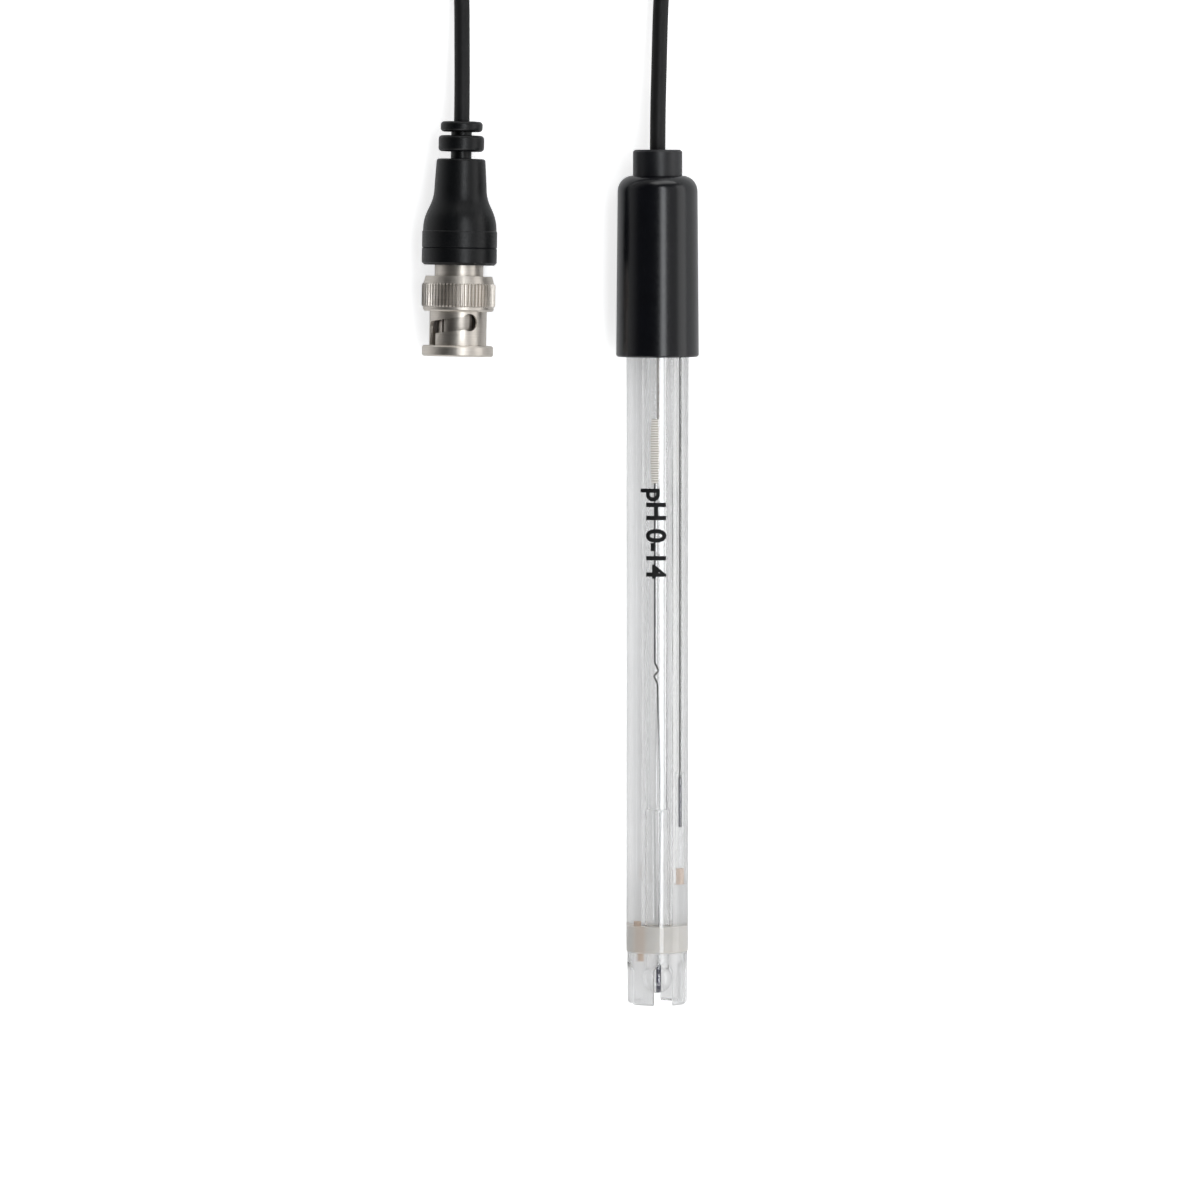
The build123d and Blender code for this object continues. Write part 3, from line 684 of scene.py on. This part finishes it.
def moulded_polycarbonate():
    """Clear moulded polycarbonate: glassy, with long flow lines from the mould that streak what is behind it. The
    guard is satin, and its ends and slot walls, which don't look away from the axis, are matte."""
    material, tree, place, shader, output = start("moulded_polycarbonate")
    colour = settings("finish").shank
    flow, tone = mottled(tree, place, 0.9, shade(colour, 0.985), colour, detail=1.0, stretch=(1.0, 0.004, 1.0))
    height, out = from_axis(tree, place, electrode_lie)
    radial = add(tree, "VectorMath", links={0: (out, "Vector")}, operation="NORMALIZE")
    face = add(tree, "NewGeometry")
    looks = add(tree, "VectorMath", links={0: (radial, "Vector"), 1: (face, "True Normal")}, operation="DOT_PRODUCT")
    squarely = add(tree, "Math", links={0: (looks, "Value")}, operation="ABSOLUTE")
    cut = add(
        tree,
        "MapRange",
        {"From Min": ROUND_COSINE, "From Max": CUT_COSINE, "To Min": GUARD_ROUGHNESS, "To Max": CUT_ROUGHNESS},
        {"Value": (squarely, "Value")},
    )
    guard = add(tree, "Math", {1: GUARD_LENGTH}, {0: (height, "Value")}, operation="LESS_THAN")
    satin = add(tree, "Math", links={0: (cut, "Result"), 1: (guard, "Value")}, operation="MULTIPLY")
    feed(
        tree,
        shader,
        {"Transmission Weight": 1.0, "IOR": 1.585},
        {"Base Color": (tone, "Color"), "Roughness": (satin, "Value")},
    )
    roughen(tree, shader, flow, 0.001)
    pass_light(tree, shader, output, SHANK_PASS)
    return material


def drawn_glass():
    """Drawn laboratory glass: clear, with faint draw lines along it."""
    material, tree, place, shader, output = start("drawn_glass")
    clear = linear("#ffffff")
    draw, tone = mottled(tree, place, 0.7, shade(clear, 0.99), clear, detail=1.0, stretch=(1.0, 0.004, 1.0))
    paint(tree, shader, {"Roughness": 0.0, "Transmission Weight": 1.0, "IOR": 1.52}, tone)
    roughen(tree, shader, draw, 0.0005)
    pass_light(tree, shader, output, GLASS_PASS)
    return material


def electrolyte_gel():
    """Set electrolyte gel: as clear as water, with soft cloudy threads."""
    material, tree, place, shader, output = start("electrolyte_gel")
    clear = linear("#ffffff")
    _, tone = mottled(tree, place, 3.0, shade(clear, 0.985), clear, detail=2.0, stretch=(1.0, 0.3, 1.0))
    paint(tree, shader, {"Roughness": 0.0, "Transmission Weight": 1.0, "IOR": GEL_INDEX}, tone)
    pass_light(tree, shader, output, GLASS_PASS)
    return material


finish_makers = {
    "cap_plastic": moulded_abs,
    "grommet_plastic": satin_abs,
    "boot_rubber": moulded_vinyl,
    "cord_jacket": extruded_vinyl,
    "tie_plastic": nylon_strap,
    "nickel_plate": plated_nickel,
    "spring_steel": rolled_spring_steel,
    "gilt_contact": gold_plate,
    "silver": silver_wire,
    "copper_core": tinned_copper,
    "silver_chloride": chloride_coat,
    "fibre_wrap": wound_fibre,
    "porous_ceramic": unglazed_ceramic,
    "seal_resin": cast_resin,
    "seal_rubber": moulded_rubber,
    "gasket_silicone": silicone_rubber,
    "white_dielectric": turned_ptfe,
    "clear_polycarbonate": moulded_polycarbonate,
    "stem_glass": drawn_glass,
    "clear_gel": electrolyte_gel,
    "ink": printed_ink,
}


def finish(slot):
    """The material of a slot, made once."""
    made = bpy.data.materials.get(finish_makers[slot].__name__)
    return made or finish_makers[slot]()


def piece(name, data, slot, replaced=()):
    """Puts a new piece in the scene with its finish. It rides on the electrode and stands for some CAD nodes."""
    made = bpy.data.objects.new(name, data)
    bpy.context.scene.collection.objects.link(made)
    data.materials.append(finish(slot))
    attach(made, "electrode")
    if replaced:
        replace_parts(made, *replaced)
    return made


def surface(name, points, faces):
    """A smooth-shaded mesh with sharp edges where its faces turn by more than the crease angle."""
    mesh = bpy.data.meshes.new(name)
    mesh.from_pydata(points.tolist(), [], faces.tolist())
    mesh.polygons.foreach_set("use_smooth", np.ones(len(faces), dtype=bool))
    mesh.set_sharp_from_angle(angle=CREASE)
    mesh.update()
    return mesh


def closed_grid(grid):
    """Points and faces of a grid of points that joins up with itself along its rows and its columns."""
    rows, columns = grid.shape[:2]
    row, column = np.meshgrid(np.arange(rows), np.arange(columns), indexing="ij")
    next_row = (row + 1) % rows
    next_column = (column + 1) % columns
    corners = [(row, column), (next_row, column), (next_row, next_column), (row, next_column)]
    faces = np.stack([r * columns + c for r, c in corners], axis=-1)
    return grid.reshape(-1, 3), faces.reshape(-1, 4)


def superellipse(angles, power):
    """A loop between a circle and a square: cosine and sine, each raised to two over the power with its sign kept."""
    across, up = np.cos(angles), np.sin(angles)
    return np.sign(across) * np.abs(across) ** (2 / power), np.sign(up) * np.abs(up) ** (2 / power)


def strap_loop(low, high, thickness, power):
    """A flat strap carried round a superellipse in the plane of Y and Z. Its section is a superellipse as wide
    as the box in X and as thick as the strap, which stands along the loop's outward normal."""
    centre = (low + high) / 2
    half = (high - low) / 2 - np.array([0, thickness / 2, thickness / 2])
    y, z = superellipse(np.linspace(0, 2 * pi, LOOP_STEPS, endpoint=False), power)
    path = np.stack([np.zeros_like(y), half[1] * y, half[2] * z], axis=-1)
    slope_y, slope_z = (np.sign(part) * np.abs(part) ** (power - 1) for part in (y, z))
    outward = np.stack([np.zeros_like(y), slope_y, slope_z], axis=-1)
    outward /= np.linalg.norm(outward, axis=-1, keepdims=True)
    across, up = superellipse(np.linspace(0, 2 * pi, SECTION_STEPS, endpoint=False), SECTION_POWER)
    section = up[None, :, None] * thickness / 2 * outward[:, None, :]
    width = np.stack([across * half[0], np.zeros_like(across), np.zeros_like(across)], axis=-1)
    return closed_grid(centre + path[:, None, :] + section + width[None, :, :])


def grown_copy(node, growth):
    """A CAD solid's surface with each point moved outward along the mean of its faces' normals, each weighed by
    the face's angle there, and farther at a rim, so that every face moves by the same distance."""
    source = cad_nodes[node].data
    source.calc_loop_triangles()
    points = np.empty(3 * len(source.vertices))
    source.vertices.foreach_get("co", points)
    corners = np.empty(3 * len(source.loop_triangles), dtype=np.int32)
    source.loop_triangles.foreach_get("vertices", corners)
    places, inverse = np.unique(np.round(points.reshape(-1, 3), 7), axis=0, return_inverse=True)
    triangles = inverse.reshape(-1)[corners].reshape(-1, 3)
    distinct = (np.diff(np.sort(triangles, axis=1), axis=1) > 0).all(axis=1)
    triangles = triangles[distinct]
    edges = places[np.roll(triangles, -1, axis=1)] - places[triangles]
    normals = np.cross(edges[:, 0], edges[:, 1])
    normals /= np.maximum(np.linalg.norm(normals, axis=1, keepdims=True), TINY)
    leaving = edges / np.linalg.norm(edges, axis=2, keepdims=True)
    angles = np.arccos(np.clip((leaving * -np.roll(leaving, 1, axis=1)).sum(axis=2), -1, 1))
    outward = np.zeros_like(places)
    np.add.at(outward, triangles, angles[:, :, None] * normals[:, None, :])
    outward /= np.maximum(np.linalg.norm(outward, axis=1, keepdims=True), TINY)
    whole, share = np.zeros(len(places)), np.zeros(len(places))
    np.add.at(whole, triangles, angles)
    np.add.at(share, triangles, angles * (outward[triangles] * normals[:, None, :]).sum(axis=2))
    return places + growth * outward * (whole / share)[:, None], triangles


def hollow(points, depth):
    """Points of a filling with the middle of its top sunk along the electrode, so that its level is a hollow cone."""
    origin, _, _, along = electrode_lie
    heights = (points - origin) @ along
    top = heights > heights.max() - LEVEL_BAND
    centre = (points[top].min(axis=0) + points[top].max(axis=0)) / 2
    out = points - centre
    radius = np.linalg.norm(out - np.outer(out @ along, along), axis=1)
    middle = top & (radius < RIM_SHARE * radius[top].max())
    return points - np.where(middle, depth, 0.0)[:, None] * along


def coil_points(turn_points):
    """Control points of the coil: the angle grows evenly, radius and height follow the stations, and a low swell
    lifts the turns over the tie. The radius is wider because the spline runs inside its points."""
    turns = np.arange(1, round(COIL_STATIONS[-1, 0] * turn_points)) / turn_points
    made, radii, heights = COIL_STATIONS.T
    radius = np.interp(turns, made, radii) * MM / np.cos(pi / turn_points) ** SAG_SHARE
    height = np.interp(turns, made, heights) * MM
    from_tie = (turns - TIE_TURN + 0.5) % 1 - 0.5
    height = height + (SWELL_RISE - SWELL_LOSS * height) * np.exp(-((from_tie / SWELL_REACH) ** 2))
    angle = 2 * pi * turns
    x = COIL_CENTRE[0] + radius * np.cos(angle)
    y = COIL_CENTRE[1] + radius * np.sin(angle)
    return np.stack([x, y, height], axis=-1)


class LayCord(bpy.types.Operator):
    """Lay the cord from the cap to its coil and on to the plug as one smooth spline"""

    bl_idname = "ph_electrode.lay_cord"
    bl_label = "Lay cord"

    def execute(self, context):
        size = settings("cord")
        points = np.vstack([
            on_axis(electrode_lie, CAP_TOP),
            on_axis(electrode_lie, ELECTRODE_LENGTH + CORD_LEAVE),
            LEAD_ROUTE,
            coil_points(size.turn_points),
            TAIL_ROUTE,
            on_axis(plug_lie, BOOT_END + CORD_LEAVE),
            on_axis(plug_lie, PLUG_CORD_END),
        ])
        curve = bpy.data.curves.new("cord", "CURVE")
        curve.dimensions = "3D"
        curve.resolution_u = 6
        curve.bevel_depth = size.diameter / 2
        curve.bevel_resolution = 6
        curve.use_fill_caps = True
        spline = curve.splines.new("NURBS")
        spline.points.add(len(points) - 1)
        spline.points.foreach_set("co", np.hstack([points, np.ones((len(points), 1))]).ravel())
        spline.order_u = 3
        spline.use_endpoint_u = True
        cord = piece("cord", curve, "cord_jacket", ("cable_lead", "cable_coil", "cable_tail"))
        return {"FINISHED"}


class TieCoil(bpy.types.Operator):
    """Close a flat strap round the coil"""

    bl_idname = "ph_electrode.tie_coil"
    bl_label = "Tie coil"

    def execute(self, context):
        size = settings("cord")
        low, high = (np.array(corner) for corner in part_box("coil_tie"))
        points, faces = strap_loop(low, high, size.tie_thickness, size.tie_squareness)
        piece("coil_strap", surface("coil_strap", points, faces), "tie_plastic", ("coil_tie",))
        return {"FINISHED"}


class FillElectrode(bpy.types.Operator):
    """Fill the shank, the bulb and the reference tube, so that each filling wets the walls around it"""

    bl_idname = "ph_electrode.fill"
    bl_label = "Fill electrode"

    def execute(self, context):
        size = settings("electrode")
        fillings = {
            "gel_column": "chamber_gel",
            "bulb_filling": "buffer_gel",
            "reference_filling": "reference_gel",
            "seal_disc": "tip_seal",
            "junction_plug": "inner_junction",
        }
        for name, node in fillings.items():
            clear = node_slots[node] == "clear_gel"
            points, faces = grown_copy(node, size.overlap if clear else size.plug_overlap)
            if name in ("bulb_filling", "reference_filling"):
                points = hollow(points, size.meniscus)
            piece(name, surface(name, points, faces), node_slots[node], (node,))
        return {"FINISHED"}


class SetSpring(bpy.types.Operator):
    """Set the spring washer, which in use the coupling presses flat, as a smooth copy with a mesh of its own"""

    bl_idname = "ph_electrode.set_spring"
    bl_label = "Set spring washer"

    def execute(self, context):
        node = "wave_washer"
        points, faces = grown_copy(node, 0.0)
        spring = piece("spring_washer", surface("spring_washer", points, faces), node_slots[node], (node,))
        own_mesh(spring)
        return {"FINISHED"}


class PrintMark(bpy.types.Operator):
    """Print the measuring range along the shank, reading away from the cap"""

    bl_idname = "ph_electrode.print_mark"
    bl_label = "Print range mark"

    def execute(self, context):
        size = settings("electrode")
        words = bpy.data.curves.new("range_words", "FONT")
        words.body = size.mark_text
        words.offset = LETTER_WEIGHT
        holder = bpy.data.objects.new("range_words", words)
        context.scene.collection.objects.link(holder)
        flat = bpy.data.meshes.new_from_object(holder.evaluated_get(context.evaluated_depsgraph_get()))
        bpy.data.objects.remove(holder)
        letters = bmesh.new()
        letters.from_mesh(flat)
        bmesh.ops.remove_doubles(letters, verts=letters.verts, dist=1e-5)
        width = max(v.co.x for v in letters.verts)
        scale = size.mark_length / width
        # cut into narrow strips, so that the letters follow the round shank
        for step in np.arange(LETTER_FOOT, LETTER_HEAD, LETTER_STRIP / scale):
            bmesh.ops.bisect_plane(
                letters,
                geom=[*letters.verts, *letters.edges, *letters.faces],
                plane_co=(0, step, 0),
                plane_no=(0, 1, 0),
            )
        bmesh.ops.triangulate(letters, faces=letters.faces)
        letters.to_mesh(flat)
        letters.free()
        points = np.empty(3 * len(flat.vertices))
        flat.vertices.foreach_get("co", points)
        points = points.reshape(-1, 3) * scale
        # letters stand across the shank and run down it: the way round it is their height over its radius
        origin, right, front, along = electrode_lie
        angle = (size.mark_side + points[:, 1:2]) / SHANK_RADIUS
        radius = SHANK_RADIUS + size.mark_depth / 4
        height = size.mark_top - points[:, :1]
        wrapped = origin + radius * (np.sin(angle) * right + np.cos(angle) * front) + height * along
        flat.vertices.foreach_set("co", wrapped.ravel())
        flat.update()
        mark = piece("range_mark", flat, "ink")
        film = mark.modifiers.new("ink film", "SOLIDIFY")
        film.thickness = size.mark_depth
        film.offset = 1.0
        return {"FINISHED"}


class DressSolids(bpy.types.Operator):
    """Give every CAD solid that still shows the finish of its slot"""

    bl_idname = "ph_electrode.dress"
    bl_label = "Dress solids"

    def execute(self, context):
        for node, solid in cad_nodes.items():
            solid.data.materials.clear()
            solid.data.materials.append(finish(node_slots[node]))
        return {"FINISHED"}


def aim(thing, place, target):
    """Puts a camera or lamp at a place, looking at a target, with its top toward +Y."""
    back = (Vector(place) - Vector(target)).normalized()
    right = Vector((0, 1, 0)).cross(back).normalized()
    turn = Matrix((right, back.cross(right), back)).transposed()
    thing.matrix_world = Matrix.Translation(place) @ turn.to_4x4()


def panel_lamp(name, place, target, width, length, radiance):
    """A flat lamp of a given brightness, which the camera doesn't see."""
    light = bpy.data.lights.new(name, "AREA")
    light.shape = "RECTANGLE"
    light.size = width
    light.size_y = length
    light.energy = radiance * pi * width * length
    lamp = bpy.data.objects.new(name, light)
    bpy.context.scene.collection.objects.link(lamp)
    aim(lamp, place, target)
    lamp.visible_camera = False
    return lamp


class SetStage(bpy.types.Operator):
    """Set the floor, the lamps, the surroundings and the camera"""

    bl_idname = "ph_electrode.set_stage"
    bl_label = "Set stage"

    def execute(self, context):
        stage = settings("stage")
        scene = context.scene
        scene.view_settings.view_transform = "Standard"
        scene.cycles.max_bounces = LIGHT_BOUNCES
        scene.cycles.transmission_bounces = LIGHT_BOUNCES
        scene.cycles.transparent_max_bounces = LIGHT_BOUNCES
        scene.cycles.caustics_reflective = False
        scene.cycles.caustics_refractive = False
        lens = bpy.data.cameras.new("camera")
        camera = bpy.data.objects.new("camera", lens)
        scene.collection.objects.link(camera)
        centre = Vector(stage.view_centre)
        offset = Vector(stage.camera_offset)
        lens.sensor_width = 36.0
        lens.lens = lens.sensor_width * offset.length / stage.view_width
        lens.clip_start = 0.01
        aim(camera, centre + offset, centre)
        scene.camera = camera
        lamps = {
            name: panel_lamp(name, place, target, width, length, getattr(stage, radiance))
            for name, (place, target, width, length, radiance) in LAMPS.items()
        }
        lamps["strip"].data.color = COOL_TINT
        # the left panel lights matte pieces alone
        lamps["left_panel"].visible_glossy = False
        lamps["left_panel"].visible_transmission = False
        self.lay_floor(scene, stage)
        self.light_surroundings(scene, stage)
        return {"FINISHED"}

    def lay_floor(self, scene, stage):
        """A wide matte floor, white to the eye, that keeps its shadows."""
        corners = FLOOR_REACH * np.array([(-1, -1, 0), (1, -1, 0), (1, 1, 0), (-1, 1, 0)])
        floor = bpy.data.objects.new("floor", surface("floor", corners, np.array([[0, 1, 2, 3]])))
        scene.collection.objects.link(floor)
        material, tree, place, shader, output = start("painted_floor")
        _, tone = mottled(tree, place, 40.0, shade(stage.floor_colour, 0.985), stage.floor_colour)
        paint(tree, shader, {"Roughness": 1.0, "Specular IOR Level": 0.0}, tone)
        path = add(tree, "LightPath")
        seen = add(tree, "Math", {1: FLOOR_GLOW}, {0: (path, "Is Camera Ray")}, operation="MULTIPLY")
        glow = add(tree, "Emission", {"Color": (1, 1, 1, 1)}, {"Strength": (seen, "Value")})
        both = add(tree, "AddShader", links={0: (shader, "BSDF"), 1: (glow, "Emission")})
        feed(tree, output, links={"Surface": (both, "Shader")})
        floor.data.materials.append(material)

    def light_surroundings(self, scene, stage):
        """Surroundings that are bright near the floor and dim overhead, pale through clear pieces and white to the
        camera."""
        world = bpy.data.worlds.new("surroundings")
        scene.world = world
        world.use_nodes = True
        tree = world.node_tree
        tree.nodes.clear()
        place = add(tree, "TexCoord")
        apart = add(tree, "SeparateXYZ", links={"Vector": (place, "Generated")})
        sky = add(
            tree,
            "MapRange",
            {
                "From Min": SKY_LOW_END,
                "From Max": SKY_HIGH_START,
                "To Min": stage.sky_low,
                "To Max": stage.sky_high,
            },
            {"Value": (apart, "Z")},
        )
        path = add(tree, "LightPath")
        through = add(
            tree,
            "Mix",
            {"B": stage.sky_through},
            {"Factor": (path, "Is Transmission Ray"), "A": (sky, "Result")},
        )
        level = add(tree, "Mix", {"B": 1.0}, {"Factor": (path, "Is Camera Ray"), "A": (through, "Result")})
        back = add(tree, "Background", links={"Strength": (level, "Result")})
        add(tree, "OutputWorld", links={"Surface": (back, "Background")})


class ElectrodePanel(bpy.types.Panel):
    """Lists the electrode's settings and steps."""

    bl_idname = "VIEW3D_PT_ph_electrode"
    bl_label = "pH electrode"
    bl_space_type = "VIEW_3D"
    bl_region_type = "UI"
    bl_category = "Electrode"

    def draw(self, context):
        for name, group in setting_groups.items():
            box = self.layout.box()
            for field in group.__annotations__:
                box.prop(settings(name), field)
        for step in steps:
            self.layout.operator(step.bl_idname)


setting_groups = {
    "cord": CordSettings,
    "electrode": ElectrodeSettings,
    "finish": FinishSettings,
    "stage": StageSettings,
}
steps = [SetStage, TieCoil, SetSpring, LayCord, FillElectrode, PrintMark, DressSolids]


def register():
    for name, group in setting_groups.items():
        bpy.utils.register_class(group)
        setattr(bpy.types.Scene, "ph_" + name, PointerProperty(type=group))
    for owner in (*steps, ElectrodePanel):
        bpy.utils.register_class(owner)


def unregister():
    for owner in reversed((*steps, ElectrodePanel)):
        bpy.utils.unregister_class(owner)
    for name, group in reversed(setting_groups.items()):
        delattr(bpy.types.Scene, "ph_" + name)
        bpy.utils.unregister_class(group)


def main():
    register()
    bpy.ops.ph_electrode.set_stage()
    bpy.ops.ph_electrode.tie_coil()
    bpy.ops.ph_electrode.set_spring()
    bpy.ops.ph_electrode.lay_cord()
    bpy.ops.ph_electrode.fill()
    bpy.ops.ph_electrode.print_mark()
    bpy.ops.ph_electrode.dress()


if __name__ == "__main__":
    main()
